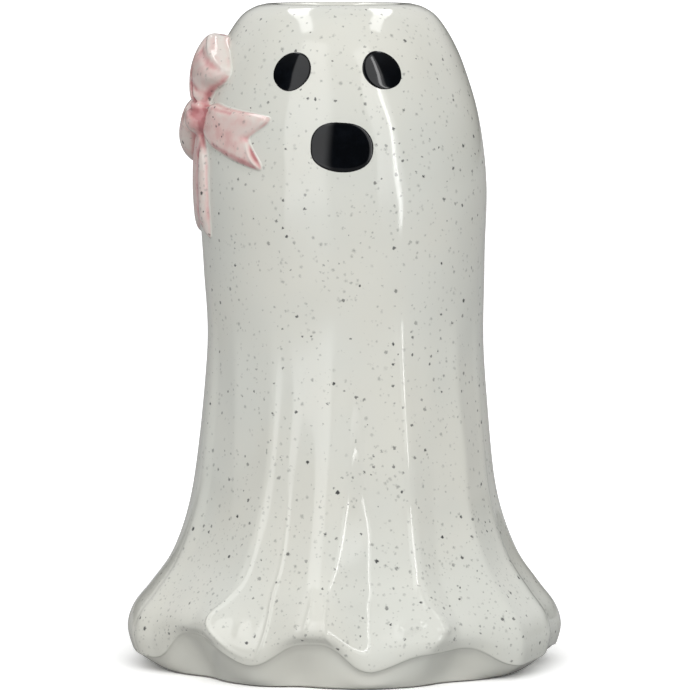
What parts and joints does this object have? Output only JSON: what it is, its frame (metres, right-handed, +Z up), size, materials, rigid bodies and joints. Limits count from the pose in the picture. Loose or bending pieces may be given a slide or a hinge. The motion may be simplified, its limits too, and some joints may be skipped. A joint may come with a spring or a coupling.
{
  "type": "ceramic ghost figure",
  "caption": "White speckled glazed ceramic ghost with a flared, folded skirt, black eyes and mouth, a pink ribbon bow on the head and an open round mouth at the top, as a vase.",
  "frame": {"origin": "centre of the foot, on the table", "axes": "+Z up, the face looks along -Y, the bow is on the -X side of the head"},
  "size_m": [0.1322, 0.1312, 0.2],
  "materials": {
    "white_glaze": "high gloss off-white glaze with fine dark grey speckles, over white earthenware",
    "black_glaze": "high gloss black glaze, laid on thick and slightly domed",
    "pink_glaze": "high gloss pale pink underglaze, deeper in the creases and thin over the raised edges, with the same speckles"
  },
  "bodies": {
    "root": {"ghost_body": "white_glaze", "eye_left": "black_glaze", "eye_right": "black_glaze", "face_mouth": "black_glaze", "bow_knot": "pink_glaze", "bow_upper_loop": "pink_glaze", "bow_rear_loop": "pink_glaze", "bow_front_tail": "pink_glaze", "bow_hanging_tail": "pink_glaze"}
  },
  "joints": []
}
